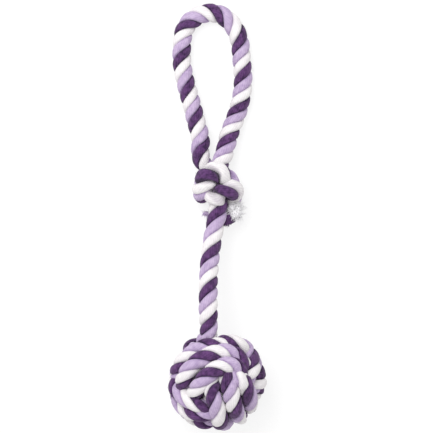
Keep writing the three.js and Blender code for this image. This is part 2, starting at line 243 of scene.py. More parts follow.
def turn_place(turn_set, half_turns):
    out, along, across, lane, lane_step = turn_set[:5]
    angle = half_turns * math.pi
    turns = (half_turns - 1) / 2
    nearest = math.floor(turns + 0.5)
    slant = min(1, max(-1, (turns - nearest) / (slant_share / 2)))
    passed = nearest + (1 + math.sin(slant * math.pi / 2)) / 2
    thickness = ball_inner_rope_d + (ball_outer_rope_d - ball_inner_rope_d) * math.cos(angle) ** 2
    aside = (lane + lane_step * passed) * (thickness + turn_gap)
    reach = (ball_d - ball_outer_rope_d) / 2
    outside = math.sqrt(max(reach ** 2 - aside ** 2, ball_inner_rope_d ** 2))
    inside = 2 * (ball_inner_rope_d + turn_gap) / max(abs(math.sin(angle)), tiny)
    radius = (outside ** -corner_power + inside ** -corner_power) ** (-1 / corner_power)
    place = radius * math.cos(angle) * out + radius * math.sin(angle) * along + aside * across
    return [*place, thickness / 2]


def ball_way():
    """The rope's way in the ball, from its middle out to its neck, and the rows that were laid."""
    rows = []
    for turn_set in turn_sets:
        start, end = turn_set[5:]
        count = round((end - start) / 2 * rows_per_turn)
        rows += [turn_place(turn_set, start + (end - start) * i / count) for i in range(count + 1)]
    for share in (neck_share, neck_share / 2, 0):
        rows.append([*(ball_exit - share * ball_exit_length * exit_way), ball_outer_rope_d / 2])

    def inside_the_ball(way, is_free):
        length = np.linalg.norm(way[:, :3], axis=1)
        low = ball_core_d / 2 + way[:, 3] + core_gap
        high = ball_d / 2 - way[:, 3]
        kept = np.clip(length, low, high) / length
        way[is_free, :3] *= kept[is_free, None]

    way = smooth_way(rows, ball_step)
    is_free = np.ones(len(way), bool)
    is_free[0] = False
    is_free[-round(neck_share * ball_exit_length / ball_step):] = False
    way = pull_tight(way, ball_step, is_free, inside_the_ball)
    laid = [lay_front_turn(way, near, seen) for near, seen, crests in front_turns]
    for rows in laid:
        is_free[rows] = False
    return pull_tight(way, ball_step, is_free, inside_the_ball, rounds=easing_rounds), laid


# %% [markdown]
# On a real ball no two turns are alike, so the turns on the photo's side are then laid just where
# the photo shows them, each on the ball's own roundness, and the hidden rope is eased to meet them.

# %% The turns that the photo shows
# each turn: how many mm of rope lie before its middle, the columns and rows of its middle line,
# each with how many mm it is sunk there, and the crests of its strands
front_turns = [
    (70, [(192, 402, 10), (193, 396, 5), (196, 390, 1), (201, 383, 0), (206.5, 376.5, 0),
          (213, 371.5, 0), (224, 366, 0), (234, 365.5, 0), (239.5, 370.5, 2), (241, 376, 7),
          (240, 381, 12)],
     [("white", 196, 389.5), ("lilac", 201, 380), ("purple", 212, 370.5),
      ("white", 223, 365), ("lilac", 236, 364)]),
    (232, [(182, 391, 8), (182.5, 384, 2), (186, 374, 0), (195, 364, 0), (208, 356, 0),
           (222, 352, 0), (235, 354.5, 0), (242.5, 362, 0.5), (245.5, 370, 4.5), (246, 377, 9),
           (244, 382, 13)],
     [("white", 186, 375), ("lilac", 196, 364), ("purple", 209, 355.5), ("white", 221, 351),
      ("lilac", 235, 353), ("purple", 243.5, 364)]),
    (392, [(172, 384, 8), (175, 377, 2), (178.5, 369, 0), (184.5, 360.5, 0), (193, 353, 0),
           (203, 348, 0), (214, 346, 0), (225, 346.5, 1.5), (233, 351, 5), (238, 356, 10)],
     [("purple", 180, 365), ("white", 189, 353), ("lilac", 203, 345.5), ("purple", 216, 343),
      ("white", 227, 343)]),
    (535, [(214, 421, 4), (205, 421.5, 0), (195, 418.5, 0), (185, 411.5, 0)],
     [("lilac", 208, 421), ("purple", 196, 421)]),
    (700, [(212, 412, 4), (205, 414, 1), (196, 413, 0), (186, 409, 0), (178, 402, 0)],
     [("lilac", 206, 414), ("purple", 194, 413)]),
    (800, [(218, 345, 4), (224, 342.5, 0), (231, 342.5, -2), (239, 345.5, -2), (246, 350.5, -1),
           (250.5, 357.5, -0.5), (252, 367, 0), (249, 375.5, 2), (243.5, 381.5, 6.5)],
     [("purple", 231, 342), ("white", 242, 347), ("lilac", 250, 355), ("purple", 253, 366),
      ("white", 251, 378)]),
    (870, [(208, 407, 5), (200, 405.5, 1.5), (191, 402, 0.5), (183, 396, 0.5), (177, 388, 0.5),
           (173, 379, 2)],
     [("purple", 202, 402), ("white", 191, 402), ("lilac", 177, 393)]),
    (1010, [(221, 424, 0), (219, 416, 0), (216.5, 407, 0), (213.5, 398, 0), (212, 390, 1),
            (214, 382, 5)],
     [("purple", 211, 394), ("lilac", 216, 402.5), ("white", 218, 414), ("purple", 221, 421)]),
    (1165, [(238.5, 416, 0), (235, 408, 0), (232.5, 400, 0), (230.5, 391, 0), (228, 382.5, 1),
            (226, 375, 4)],
     [("purple", 222.5, 383), ("lilac", 226, 391), ("white", 231.5, 398.5),
      ("purple", 236, 407.5)]),
    (1335, [(252.5, 409, 0), (250, 400, 0), (247, 391, 0), (243, 382.5, 1), (239, 375, 5)],
     [("purple", 244.5, 391), ("lilac", 250, 402)]),
]
print("front turns:", len(front_turns))

# %% Laying the front turns
search_length = 40
ease_length = 25
height_rounds = 4


def on_the_ball(column, row, sunk):
    """The place of a pixel on the ball's layer of outer turns, from the ball's middle."""
    reach = (ball_d - ball_outer_rope_d) / 2 - sunk
    height = 0
    for _ in range(height_rounds):
        across, up = np.subtract(from_photo(column, row, ball_at[2] + height), ball_at[:2])
        height = math.sqrt(max(reach ** 2 - across ** 2 - up ** 2, 0))
    return np.array((across, up, height)) * reach / max(math.hypot(across, up, height), reach)


def lay_front_turn(way, near, seen):
    """Moves a stretch of the way to where the photo shows it, and gives its rows."""
    places = np.array([on_the_ball(*point) for point in seen])
    laid = smooth_way(np.hstack([places, np.zeros((len(places), 1))]), ball_step)[:, :3]
    rows = np.flatnonzero(abs(lengths_along(way) - near) < search_length)
    middle = rows[np.linalg.norm(way[rows, :3] - laid[len(laid) // 2], axis=1).argmin()]
    first = middle - len(laid) // 2
    last = first + len(laid) - 1
    print(f"  front turn at {lengths_along(way)[middle]:.0f} mm, moved by up to "
          f"{np.linalg.norm(laid - way[first:last + 1, :3], axis=1).max():.1f} mm")
    before, after = laid[0] - way[first, :3], laid[-1] - way[last, :3]
    way[first:last + 1, :3] = laid
    for step in range(1, round(ease_length / ball_step)):
        share = (1 + math.cos(math.pi * step * ball_step / ease_length)) / 2
        if first - step > 0:
            way[first - step, :3] += before * share
        way[last + step, :3] += after * share
    return slice(first, last + 1)


ball_at = hinges["ball_nod"] - ball_exit
ball_rows, laid_rows = ball_way()
ball_rows[:, :3] += ball_at
print(f"ball: {lengths_along(ball_rows)[-1]:.0f} mm of rope round {ball_at.round(1).tolist()}")

# %% [markdown]
# ## The knot
# The shank's rope, the standing part, runs straight up through the knot. The rope's other end comes
# down from the hand loop, passes behind the standing part, crosses in front of it, turns round
# behind itself and crosses in front once more, under its own first turn. Rope is soft: where it
# crosses in front nothing presses on it and it swells, and where it is pinched it is thinner. So
# each row of the knot says how thick the rope is there, as a share of slack rope.

# %% The way through the knot
squeezed_share = 0.726
knot_pitch = squeezed_share * rope_d + turn_gap
knot_step = 3
# across, along the toy, height and thickness: three shares of the knot's pitch, one of the rope
standing_shares = [
    (-0.22, -3.20, 0.50, 0.98), (-0.07, -2.40, 0.36, 0.98), (0.08, -1.60, 0.20, 1.02),
    (0.05, -0.70, 0.08, 1.0), (-0.02, 0.50, -0.08, 0.9), (0.12, 1.30, -0.22, 0.92),
    (0.40, 1.95, -0.44, 1.0), (0.52, 2.33, -0.60, 1.0),
]
wrap_shares = [
    (-1.18, 2.33, -0.83, 1.0), (-1.10, 1.95, -0.90, 1.0), (-0.93, 1.55, -1.00, 0.9),
    (-0.45, 1.15, -1.12, 0.8), (0.30, 0.72, -1.12, 0.8), (0.80, 0.30, -0.85, 0.8),
    (1.00, 0.15, -0.25, 0.85), (0.78, 0.42, 0.42, 0.95), (0.45, 0.78, 0.85, 1.05),
    (0.04, 0.98, 1.05, 1.12), (-0.45, 0.78, 1.12, 1.12), (-0.84, 0.24, 1.00, 1.1),
    (-1.03, -0.28, 0.62, 1.05), (-1.02, -0.58, 0.05, 0.95), (-1.05, -0.55, -0.55, 0.85),
    (-1.20, -0.10, -0.85, 0.8), (-1.05, 0.12, -0.35, 0.8), (-0.72, -0.12, 0.00, 0.85),
    (-0.38, -0.58, 0.45, 1.0), (0.05, -0.54, 0.85, 1.15), (0.55, -0.44, 0.98, 1.22),
    (1.00, -0.32, 0.62, 1.18), (1.17, -0.42, 0.05, 1.05), (1.15, -0.78, -0.35, 0.9),
    (1.10, -1.02, -0.50, 0.8),
]


def knot_way(shares):
    shares = np.array(shares)
    rows = np.hstack([shares[:, :3] * knot_pitch, shares[:, 3:] * rope_d / 2])
    return smooth_way(rows, knot_step)


standing_rows, wrap_rows = knot_way(standing_shares), knot_way(wrap_shares)
knot_at = hinges["knot_nod"] - standing_rows[0, :3]
standing_rows[:, :3] += knot_at
wrap_rows[:, :3] += knot_at
print("knot: middle at", knot_at.round(1).tolist())

# %% [markdown]
# ## The shank and the hand loop
# Between ball and knot the rope runs in one gentle curve, square to the ball where it leaves it and
# in line with the knot where it enters it. The hand loop lies flat and rises only at its two roots.

# %% The shank
shank_length = 60.4
shank_reach = 0.35 * shank_length
shank_steps = 60
foot, foot_way = hinges["knot_nod"], unit(standing_rows[1, :3] - standing_rows[0, :3])
neck = hinges["ball_nod"]
share = np.linspace(0, 1, shank_steps + 1)[:, None]
shank = ((1 - share) ** 3 * neck + 3 * (1 - share) ** 2 * share * (neck + exit_way * shank_reach)
         + 3 * (1 - share) * share ** 2 * (foot - foot_way * shank_reach) + share ** 3 * foot)
shank_rows = np.hstack([shank, np.full((len(shank), 1), rope_d / 2)])
print(f"shank: {lengths_along(shank_rows)[-1]:.0f} mm")

# %% The hand loop
# sizes of the rope's middle line, from the knot's middle to near its top, and from side to side
handle_length = 123.7
handle_width = 44.3
handle_height = 0.4 * rope_d
handle_step = 4
# across and along, as shares of the loop's width and length, and the share of the rise to its root
handle_shares = [
    (0.208, 0.312, 0.42), (0.314, 0.411, 0.08), (0.395, 0.514, 0), (0.427, 0.613, 0),
    (0.404, 0.728, 0), (0.368, 0.846, 0), (0.275, 0.931, 0), (0.113, 0.990, 0),
    (-0.065, 1.012, 0), (-0.275, 1.000, 0), (-0.427, 0.965, 0), (-0.533, 0.910, 0),
    (-0.569, 0.833, 0), (-0.573, 0.728, 0), (-0.517, 0.613, 0), (-0.427, 0.497, 0),
    (-0.343, 0.382, 0.10), (-0.268, 0.277, 0.55),
]
right_root, left_root = standing_rows[-1], wrap_rows[0]
handle_rows = [right_root]
for i, (across, along, lift) in enumerate(handle_shares):
    root = right_root if i < len(handle_shares) / 2 else left_root
    height = handle_height + (root[2] - handle_height) * lift
    handle_rows.append([knot_at[0] + across * handle_width, knot_at[1] + along * handle_length,
                        height, rope_d / 2])
handle_rows.append(left_root)
print(f"hand loop: its middle line is {handle_width} mm wide, {len(handle_rows)} rows")

# %% [markdown]
# ## One rope
# The stretches are joined end to end and smoothed once more, so that each strand runs on through
# ball, shank, hand loop and knot without a break, as on the real toy.

# %% One rope from the ball to its cut end
rope_step = 1.0
joining_step = 4
ball_fullness = 1.14


def fuller(rows, fullness):
    """Soft rope fills the room that tight turns leave it, so it is drawn fuller than its way."""
    rows = np.array(rows)
    rows[:, 3] = np.minimum(rows[:, 3] * fullness, rope_d / 2)
    return rows


stretches = {
    "ball": fuller(ball_rows, ball_fullness),
    "shank": shank_rows,
    "standing": standing_rows,
    "handle": smooth_way(handle_rows, handle_step),
    "wrap": wrap_rows,
}
whole = np.vstack([rows[:-1] for rows in stretches.values()] + [stretches["wrap"][-1:]])
rope = smooth_way(even_way(whole, joining_step), rope_step)
along = lengths_along(rope)
print(f"rope: {along[-1]:.0f} mm in {len(rope)} steps")


def row_near(place):
    return int(np.linalg.norm(rope[:, :3] - place[:3], axis=1).argmin())


# %% [markdown]
# ## How the strands lie
# A strand's place in the rope is an angle round its middle, counted from a direction that is
# carried along without turning. On slack rope the angle grows at a steady rate, one turn in a lay
# of about two diameters. In a ball or a knot the maker's hands twist the rope a little more or
# less, so the angle is set by where the photo shows a strand's crest, and runs evenly in between.

# %% Crests of the strands in the photo
lay_length = 26.2
strand_turns = {"purple": 0.0, "lilac": 1 / 3, "white": 2 / 3}
# each pass that shows: the rows of the rope that it lies between, then its crests
passes = [(row_near(ball_rows[rows.start]), row_near(ball_rows[rows.stop]), crests)
          for rows, (near, seen, crests) in zip(laid_rows, front_turns)]
# a side turn that peeps out at the outline, a few rows before the fifth turn that was laid
fifth_turn = passes[4][0]
passes.append((fifth_turn - 60, fifth_turn - 25, [("white", 255, 386)]))
# past the ball, rows count from where the rope leaves it
past_ball = row_near(ball_rows[-1])
passes_past_ball = [
    (-29, 80, [("purple", 209, 323.6), ("purple", 208.5, 289.6), ("purple", 210.5, 255.7),
                ("purple", 218, 212.5)]),
    (91, 351, [("purple", 228, 140), ("purple", 238.5, 108), ("purple", 242.5, 75),
               ("purple", 238, 43), ("purple", 217, 15), ("purple", 189, 26),
               ("purple", 181.5, 57), ("purple", 187, 90), ("purple", 196, 119),
               ("purple", 202.5, 150)]),
    (376, 440, [("white", 222, 170), ("purple", 210, 173.5), ("white", 205, 184),
                ("lilac", 202, 191.5), ("purple", 201, 199)]),
    (446, 491, [("white", 211, 198), ("purple", 226, 192)]),
]
passes += [(start + past_ball, end + past_ball, crests) for start, end, crests in passes_past_ball]
print("crests in the photo:", sum(len(crests) for start, end, crests in passes))

# %% From crests to the strands' twist
twist_ease = 7


def carried_directions(way):
    """A direction square to the rope at every row, carried along it without turning round it."""
    tangents = np.gradient(way[:, :3], axis=0)
    tangents /= np.linalg.norm(tangents, axis=1)[:, None]
    normals = [square_to((0, 0, 1), tangents[0])]
    for tangent in tangents[1:]:
        normals.append(square_to(normals[-1], tangent))
    normals = np.array(normals)
    return tangents, normals, np.cross(tangents, normals)


tangents, normals, binormals = carried_directions(rope)
steady = along / lay_length * 2 * math.pi


def extra_turns():
    """What the photo's crests add to the steady twist, at every row of the rope."""
    found = []
    for start, end, crests in passes:
        rows = np.arange(start, min(end, len(rope)))
        for colour, column, row in crests:
            seen = np.transpose([np.subtract(place[:2], from_photo(column, row, place[2]))
                                 for place in rope[rows]])
            i = rows[np.hypot(*seen).argmin()]
            facing_up = math.atan2(binormals[i, 2], normals[i, 2])
            found.append((along[i], facing_up - steady[i] - 2 * math.pi * strand_turns[colour]))
    found.sort()
    extras = [found[0][1]]
    for place, extra in found[1:]:
        extras.append(extras[-1] + math.remainder(extra - extras[-1], 2 * math.pi))
    between = np.interp(along, [place for place, extra in found], extras)
    return np.convolve(np.pad(between, twist_ease, mode="edge"),
                       np.full(2 * twist_ease + 1, 1 / (2 * twist_ease + 1)), mode="valid")


strand_angle = steady + extra_turns()
print(f"twist: {np.ptp(strand_angle) / 2 / math.pi:.0f} turns in {along[-1]:.0f} mm of rope")

# %% [markdown]
# At a few places in the knot the rope is pinched so hard that one strand sinks between the other
# two, and they spread over it. So a strand may be turned, swollen or shrunk a little round a place.

# %% Pinched strands
# rows past the ball, how many rows it reaches, and each strand's turn in degrees and its size there
pinches = [
    (397, 8, {"purple": (0, 0.3), "lilac": (-55, 1.2), "white": (20, 1.1)}),
    (415, 10, {"purple": (24, 1.3), "lilac": (0, 0.2), "white": (-38, 1.08)}),
    (461, 8, {"purple": (0, 0.3), "lilac": (30, 1.2), "white": (0, 1.0)}),
    (474, 12, {"purple": (35, 0.85), "lilac": (0, 0.1), "white": (10, 1.25)}),
]


def pinched(colour, rows):
    """How far a strand is turned, in radians, and its size, at some rows of the rope."""
    from_ball = np.arange(len(rope))[rows] - past_ball
    turned, swollen = np.zeros(len(from_ball)), np.ones(len(from_ball))
    for middle, reach, strands_there in pinches:
        turn, size = strands_there[colour]
        share = np.exp(-((from_ball - middle) / reach) ** 2)
        turned += math.radians(turn) * share
        swollen += (size - 1) * share
    return turned, swollen


print("pinches:", len(pinches))

# %% [markdown]
# ## One strand, by Geometry Nodes
# Every strand is the same shape: an oval that fills a third of the round rope, with its outer side
# bulging. Curve to Mesh sweeps a ring of points along the rope's way, and Set Position then puts
# each point on the oval, turned to where the strand lies. The points also turn backwards round the
# oval as they go, because a strand is itself twisted, the other way, from soft yarns. So on good
# rope the yarns run straight along it, and here each is a low ridge in the mesh.

# %% Short ways to write node trees
def feed(tree, socket, value):
    """Gives a socket a value, or links it to another node's output."""
    if isinstance(value, bpy.types.NodeSocket):
        tree.links.new(value, socket)
    elif value is not None:
        socket.default_value = value


def add(tree, kind, inputs=(), **settings):
    made = tree.nodes.new(kind)
    for name, value in settings.items():
        setattr(made, name, value)
    for key, value in inputs.items() if isinstance(inputs, dict) else enumerate(inputs):
        feed(tree, made.inputs[key], value)
    return made


def sums(tree, operation, *values):
    return add(tree, "ShaderNodeMath", values, operation=operation).outputs["Value"]


def vectors(tree, operation, *values, scale=None):
    inputs = dict(enumerate(values))
    if scale is not None:
        inputs["Scale"] = scale
    return add(tree, "ShaderNodeVectorMath", inputs, operation=operation).outputs["Vector"]


def attribute(tree, name, data_type="FLOAT"):
    kind = "GeometryNodeInputNamedAttribute"
    return add(tree, kind, {"Name": name}, data_type=data_type).outputs["Attribute"]


def store(tree, geometry, name, value, data_type="FLOAT"):
    inputs = {"Geometry": geometry, "Name": name, "Value": value}
    kind = "GeometryNodeStoreNamedAttribute"
    return add(tree, kind, inputs, data_type=data_type, domain="POINT").outputs["Geometry"]


def new_tree(name, sizes):
    """A tree with named sizes: it takes a geometry and a material and gives a geometry."""
    tree = bpy.data.node_groups.new(name, "GeometryNodeTree")
    face = tree.interface
    face.new_socket("Geometry", in_out="INPUT", socket_type="NodeSocketGeometry")
    for label, value in sizes.items():
        kind = "NodeSocketInt" if isinstance(value, int) else "NodeSocketFloat"
        face.new_socket(label, in_out="INPUT", socket_type=kind).default_value = value
    face.new_socket("Material", in_out="INPUT", socket_type="NodeSocketMaterial")
    face.new_socket("Geometry", in_out="OUTPUT", socket_type="NodeSocketGeometry")
    return tree, add(tree, "NodeGroupInput").outputs


def finish_tree(tree, geometry, material):
    """Every tree ends alike: real geometry, one material."""
    real = add(tree, "GeometryNodeRealizeInstances", [geometry]).outputs["Geometry"]
    inputs = {"Geometry": real, "Material": material}
    painted = add(tree, "GeometryNodeSetMaterial", inputs).outputs["Geometry"]
    add(tree, "NodeGroupOutput", [painted])
    return tree


# %% The strand's node tree
def strand_tree():
    tree, given = new_tree("laid strand", {
        "Yarns": 16, "Points per Yarn": 3, "Yarn Turns per Metre": 57.5, "Yarn Height": 0.035,
        "Yarn Middle": 0.6, "Oval Middle": 0.5, "Oval Depth": 0.5, "Oval Width": 0.66,
        "Lump Height": 0.16, "Lumps per Metre": 170.0, "Lowest Height": 0.0001, "Rim Angle": 1.1,
        "Seed": 3.0})

    points = sums(tree, "MULTIPLY", given["Yarns"], given["Points per Yarn"])
    ring = add(tree, "GeometryNodeCurvePrimitiveCircle", {"Resolution": points, "Radius": 0.001})
    index = add(tree, "GeometryNodeInputIndex").outputs["Index"]
    ring = store(tree, ring.outputs["Curve"], "around", sums(tree, "DIVIDE", index, points))
    way = add(tree, "GeometryNodeMeshToCurve", [given["Geometry"]]).outputs["Curve"]
    tube = add(tree, "GeometryNodeCurveToMesh", {
        "Curve": way, "Profile Curve": ring, "Fill Caps": True}).outputs["Mesh"]

    around = attribute(tree, "around")
    slipped = sums(tree, "MULTIPLY", attribute(tree, "along"), given["Yarn Turns per Metre"])
    angle = sums(tree, "MULTIPLY", sums(tree, "SUBTRACT", around, slipped), 2 * math.pi)
    thickness = attribute(tree, "thickness")
    facing = attribute(tree, "facing", "FLOAT_VECTOR")
    aside = attribute(tree, "aside", "FLOAT_VECTOR")
    swell = attribute(tree, "swell")
    swollen = sums(tree, "MULTIPLY", thickness, swell)
    depth = sums(tree, "MULTIPLY", sums(tree, "COSINE", angle), given["Oval Depth"])
    width = sums(tree, "MULTIPLY", sums(tree, "SINE", angle), given["Oval Width"])
    out = sums(tree, "MULTIPLY", sums(tree, "MINIMUM", swell, 1.0), given["Oval Middle"])
    middle = vectors(tree, "SCALE", facing, scale=sums(tree, "MULTIPLY", thickness, out))
    middle = vectors(tree, "ADD", attribute(tree, "middle", "FLOAT_VECTOR"), middle)
    reach = vectors(tree, "ADD",
                    vectors(tree, "SCALE", facing, scale=sums(tree, "MULTIPLY", swollen, depth)),
                    vectors(tree, "SCALE", aside, scale=sums(tree, "MULTIPLY", swollen, width)))

    yarn = sums(tree, "MULTIPLY", sums(tree, "MULTIPLY", around, given["Yarns"]), math.pi)
    yarn = sums(tree, "ABSOLUTE", sums(tree, "SINE", yarn))
    ridge = sums(tree, "SUBTRACT", yarn, given["Yarn Middle"])
    ridge = sums(tree, "MULTIPLY", ridge, given["Yarn Height"])
    lumps = add(tree, "ShaderNodeTexNoise", {
        "Vector": vectors(tree, "ADD", middle, reach), "W": given["Seed"],
        "Scale": given["Lumps per Metre"], "Detail": 1.0}, noise_dimensions="4D").outputs[0]
    lumps = sums(tree, "MULTIPLY", sums(tree, "SUBTRACT", lumps, 0.5), given["Lump Height"])
    size = sums(tree, "ADD", sums(tree, "ADD", ridge, lumps), 1.0)
    place = vectors(tree, "ADD", middle, vectors(tree, "SCALE", reach, scale=size))
    x, y, z = add(tree, "ShaderNodeSeparateXYZ", [place]).outputs
    z = sums(tree, "MAXIMUM", z, given["Lowest Height"])
    place = add(tree, "ShaderNodeCombineXYZ", [x, y, z]).outputs[0]
    strand = add(tree, "GeometryNodeSetPosition", {"Geometry": tube, "Position": place})

    number = sums(tree, "FLOOR", sums(tree, "MULTIPLY", around, given["Yarns"]))
    shade = add(tree, "FunctionNodeRandomValue", {"ID": number}, data_type="FLOAT")
    strand = store(tree, strand.outputs["Geometry"], "crest", sums(tree, "COSINE", angle))
    strand = store(tree, strand, "yarn", yarn)
    strand = store(tree, strand, "shade", shade.outputs[1])
    smooth = add(tree, "GeometryNodeSetShadeSmooth", {"Geometry": strand}).outputs["Geometry"]
    bend = add(tree, "GeometryNodeInputMeshEdgeAngle").outputs[0]
    rims = sums(tree, "GREATER_THAN", bend, given["Rim Angle"])
    crisp = add(tree, "GeometryNodeSetShadeSmooth", {
        "Geometry": smooth, "Selection": rims, "Shade Smooth": False}, domain="EDGE")
    return finish_tree(tree, crisp.outputs["Geometry"], given["Material"])


laid_strand = strand_tree()
print("strand tree:", len(laid_strand.nodes), "nodes")

# %% [markdown]
# ## Cotton, dyed three ways
# The three colours are one finish. Soft cotton is quite matt, with a faint sheen from its loose
# fibres. Dyed yarn is never even: it is blotchy over a few millimetres, and each yarn is a little
# lighter or darker than the next. On top of that, shade is painted in: darker down between the
# yarns and towards each strand's sides, where the strands meet. The yarn's own attributes carry the
# yarn tone and this painted shade, so they follow it round every turn, and Object coordinates carry
# the blotches. The teased white cotton is a lighter copy of the undyed one, painted light against
# the shade that its own fibres cast.

# %% The cotton finish
blotches_per_metre, blotch_middle, blotch_gain = 330, 0.42, 2.2
yarn_gain = 0.30
# painted shade: darker in the gaps between yarns, and towards a strand's sides where the strands
# meet
yarn_gap_shade_gain = 0.28
shade_free_crest, full_shade_crest = 0.55, -0.35
fibres_per_metre, fibre_strength, fibre_height = 1500, 0.35, 0.0004
cotton_surface = {"Roughness": 0.92, "Specular IOR Level": 0.15, "Sheen Weight": 0.12,
                  "Sheen Roughness": 0.6}


def cotton(name, light, dark, side_shade_depth, blotch):
    """A cotton from its usual colour, its darkest, how dark its painted side shade is, and how
    strong its blotches are.
    """
    material = bpy.data.materials.new(name)
    material.use_nodes = True
    tree = material.node_tree
    shader = tree.nodes["Principled BSDF"]
    place = add(tree, "ShaderNodeTexCoord").outputs["Object"]

    def read(label):
        return add(tree, "ShaderNodeAttribute", attribute_name=label).outputs["Fac"]

    def noise(scale, roughness):
        inputs = {"Vector": place, "Scale": scale, "Detail": 3, "Roughness": roughness}
        return add(tree, "ShaderNodeTexNoise", inputs).outputs["Fac"]

    blotches = sums(tree, "SUBTRACT", noise(blotches_per_metre, 0.6), blotch_middle)
    blotches = sums(tree, "MULTIPLY", blotches, blotch_gain * blotch)
    yarns = sums(tree, "MULTIPLY", read("shade"), yarn_gain * blotch)
    # painted shade: darker in the gaps between yarns and towards the strand's sides; the blotches
    # and yarn tone above are the dye's own
    painted_gap_shade = sums(tree, "SUBTRACT", 1.0, read("yarn"))
    painted_gap_shade = sums(tree, "MULTIPLY", painted_gap_shade, yarn_gap_shade_gain)
    edge = add(tree, "ShaderNodeMapRange", {
        "Value": read("crest"), "From Min": full_shade_crest, "From Max": shade_free_crest,
        "To Min": side_shade_depth, "To Max": 0.0}, interpolation_type="SMOOTHSTEP").outputs["Result"]
    spots, all_painted_shade = sums(tree, "ADD", blotches, yarns), sums(tree, "ADD", painted_gap_shade, edge)
    darkness = sums(tree, "ADD", spots, all_painted_shade)
    mix = add(tree, "ShaderNodeMix", {"Factor": darkness}, data_type="RGBA")
    for socket, colour in zip([s for s in mix.inputs if s.type == "RGBA"], (light, dark)):
        socket.default_value = (*colour, 1)
    result = [s for s in mix.outputs if s.type == "RGBA"][0]
    tree.links.new(result, shader.inputs["Base Color"])
    fibres = add(tree, "ShaderNodeBump", {
        "Height": noise(fibres_per_metre, 0.7), "Strength": fibre_strength,
        "Distance": fibre_height}).outputs["Normal"]
    tree.links.new(fibres, shader.inputs["Normal"])
    for label, value in cotton_surface.items():
        shader.inputs[label].default_value = value
    return material


# each cotton's name, usual colour, darkest colour, how dark its painted side shade is, and how
# strong its blotches are
cottons = {
    "purple": ("dyed cotton, purple", (0.142, 0.056, 0.190), (0.026, 0.009, 0.044), 0.55, 1.0),
    "lilac": ("dyed cotton, lilac", (0.590, 0.475, 0.662), (0.290, 0.195, 0.390), 0.4, 0.6),
    "white": ("undyed cotton", (0.900, 0.880, 0.870), (0.560, 0.500, 0.570), 0.4, 0.35),
    # the teased white is painted lighter than the undyed cotton, to make up for the shade its own
    # fibres cast
    "teased_painted_lighter": ("undyed cotton, teased", (0.960, 0.955, 0.965), (0.800, 0.780, 0.830), 0.2, 0.3),
}
cottons = {colour: cotton(*facts) for colour, facts in cottons.items()}
print("cottons:", ", ".join(cottons))

# %% Laying a strand along part of the rope
def put_attribute(mesh, name, kind, values):
    layer = mesh.attributes.new(name, kind, "POINT")
    layer.data.foreach_set("vector" if kind == "FLOAT_VECTOR" else "value", np.ravel(values))


def set_input(modifier, tree, label, value):
    for item in tree.interface.items_tree:
        if item.name == label and item.in_out == "INPUT":
            modifier[item.identifier] = value


def strand_piece(name, colour, rows, frames, angle, lengths, swollen=None, **sizes):
    """A strand that lies at an angle round a way, as a plain mesh."""
    tangents_here, normals_here, binormals_here = frames
    angle = np.asarray(angle)[:, None]
    facing = np.cos(angle) * normals_here + np.sin(angle) * binormals_here
    mesh = bpy.data.meshes.new(name)
    places = rows[:, :3] / 1000
    mesh.from_pydata(places.tolist(), [(i, i + 1) for i in range(len(places) - 1)], [])
    put_attribute(mesh, "middle", "FLOAT_VECTOR", places)
    put_attribute(mesh, "facing", "FLOAT_VECTOR", facing)
    put_attribute(mesh, "aside", "FLOAT_VECTOR", np.cross(tangents_here, facing))
    put_attribute(mesh, "thickness", "FLOAT", rows[:, 3] / 1000)
    put_attribute(mesh, "along", "FLOAT", lengths / 1000)
    put_attribute(mesh, "swell", "FLOAT", np.ones(len(rows)) if swollen is None else swollen)
    return through_tree(name, mesh, laid_strand, cottons[colour], sizes)


def lay_strand(name, colour, first, last):
    """A strand of the toy's rope between two of its rows."""
    rows = slice(first, last + 1)
    turned, swollen = pinched(colour, rows)
    angle = strand_angle[rows] + 2 * math.pi * strand_turns[colour] + turned
    frames = tangents[rows], normals[rows], binormals[rows]
    return strand_piece(name, colour, rope[rows], frames, angle, along[rows], swollen)


def through_tree(name, mesh, tree, material, sizes):
    """Runs a node tree over a mesh and keeps what it makes as a plain mesh."""
    guide = bpy.data.objects.new(name, mesh)
    bpy.context.collection.objects.link(guide)
    modifier = guide.modifiers.new(tree.name, "NODES")
    modifier.node_group = tree
    set_input(modifier, tree, "Material", material)
    for label, value in sizes.items():
        set_input(modifier, tree, label, value)
    graph = bpy.context.evaluated_depsgraph_get()
    made = bpy.data.meshes.new_from_object(guide.evaluated_get(graph))
    bpy.data.objects.remove(guide)
    piece = bpy.data.objects.new(name, made)
    bpy.context.collection.objects.link(piece)
    return piece


# %% [markdown]
# ## Cutting the rope where it bends
# The toy bends at a few hinges, so each strand is made in stretches, one across each hinge. A
# stretch starts and ends halfway between hinges, where nothing bends.

# %% The stretches
ball_row, lower_row, upper_row, knot_row = (row_near(hinges[name]) for name in (
    "ball_nod", "shank_bend_lower", "shank_bend_upper", "knot_nod"))
root_cut = 8
hand_row, end_row = row_near(right_root) - root_cut, row_near(left_root) + root_cut
cuts = {
    "ball": (0, (ball_row + lower_row) // 2),
    "shank_lower": ((ball_row + lower_row) // 2, (lower_row + upper_row) // 2),
    "shank_middle": ((lower_row + upper_row) // 2, (upper_row + knot_row) // 2),
    "shank_upper": ((upper_row + knot_row) // 2, hand_row),
    "hand_loop": (hand_row, end_row),
    "knot": (end_row, len(rope) - 1),
}
strands = {(stretch, colour): lay_strand(f"{stretch}_{colour}", colour, *rows)
           for stretch, rows in cuts.items() for colour in strand_turns}
for stretch, (first, last) in cuts.items():
    faces = len(strands[stretch, "white"].data.polygons)
    print(f"{stretch}: {along[last] - along[first]:.0f} mm of rope, {faces} faces to a strand")

# %% [markdown]
# ## Riding
# The strands of the knot ride on the knot's body. The other strands are baked where they lie and
# are tied to no body.

